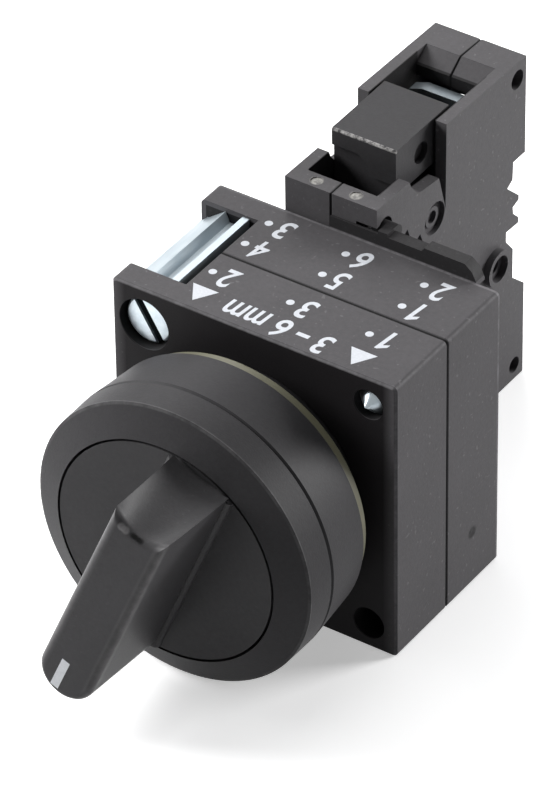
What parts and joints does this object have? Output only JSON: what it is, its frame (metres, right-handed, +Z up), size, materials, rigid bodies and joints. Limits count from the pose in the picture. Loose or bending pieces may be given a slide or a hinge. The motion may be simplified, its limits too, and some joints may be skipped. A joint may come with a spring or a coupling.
{
  "type": "selector switch",
  "caption": "Panel selector switch with a round head, lever knob, square rear holder and clip-on contact block.",
  "frame": {"origin": "on the knob's axis, in the front plane of the holder, where the panel's rear face lies", "axes": "+Z up, -Y along the knob's axis towards the user, +X to the user's right"},
  "size_m": [0.03, 0.0668, 0.0363],
  "materials": {
    "knob_black": "fine matt mould texture",
    "white_mark": "satin",
    "collar_black": "fine matt mould texture",
    "gasket_olive": "slightly translucent",
    "seal_rubber": "matt",
    "inner_white": "satin",
    "spring_steel": "drawn wire",
    "holder_grey": "fine matt mould texture",
    "zinc_steel": "bright zinc plating",
    "block_grey": "fine matt mould texture",
    "slide_black": "satin",
    "plunger_white": "satin",
    "contact_brass": "plain"
  },
  "bodies": {
    "housing": {"block_shell_left": "block_grey", "block_shell_right": "block_grey", "clamp_bracket": "zinc_steel", "clamp_screw": "zinc_steel", "collar_base": "collar_black", "fixed_contact_lower": "contact_brass", "fixed_contact_upper": "contact_brass", "front_ring": "collar_black", "holder_front": "holder_grey", "holder_rear": "holder_grey", "neck_ring": "inner_white", "panel_gasket": "gasket_olive", "plunger_spring": "spring_steel", "point_screw": "zinc_steel", "ram_spring": "spring_steel", "release_spring": "spring_steel", "shaft_seal": "seal_rubber", "terminal_screw_lower": "zinc_steel", "terminal_screw_upper": "zinc_steel", "wire_clamp_lower": "zinc_steel", "wire_clamp_upper": "zinc_steel"},
    "knob": {"selector_knob": "knob_black", "pointer_insert": "white_mark", "knob_rotor": "inner_white", "detent_balls": "spring_steel", "detent_spring": "spring_steel"},
    "push_train": {"ram": "inner_white", "plunger": "plunger_white", "contact_bridge": "contact_brass", "bridge_spring": "spring_steel"},
    "slide": {"release_slide": "slide_black"}
  },
  "joints": [
    {"name": "knob_turn", "type": "hinge", "parent": "housing", "child": "knob", "pos_m": [0, 0, 0], "axis": [0, -1, 0], "range_deg": [0, 45]},
    {"name": "push_train_slide", "type": "slide", "parent": "housing", "child": "push_train", "axis": [0, 1, 0], "range_m": [0, 0.0022], "deforming": ["ram_spring", "plunger_spring"]},
    {"name": "release_slide_travel", "type": "slide", "parent": "housing", "child": "slide", "axis": [0, 1, 0], "range_m": [0, 0.0016], "stiffness_N_per_m": 300, "deforming": ["release_spring"]}
  ],
  "couplings": [
    {"joint": "push_train_slide", "follows": "knob_turn", "m_per_rad": 0.0028011}
  ]
}
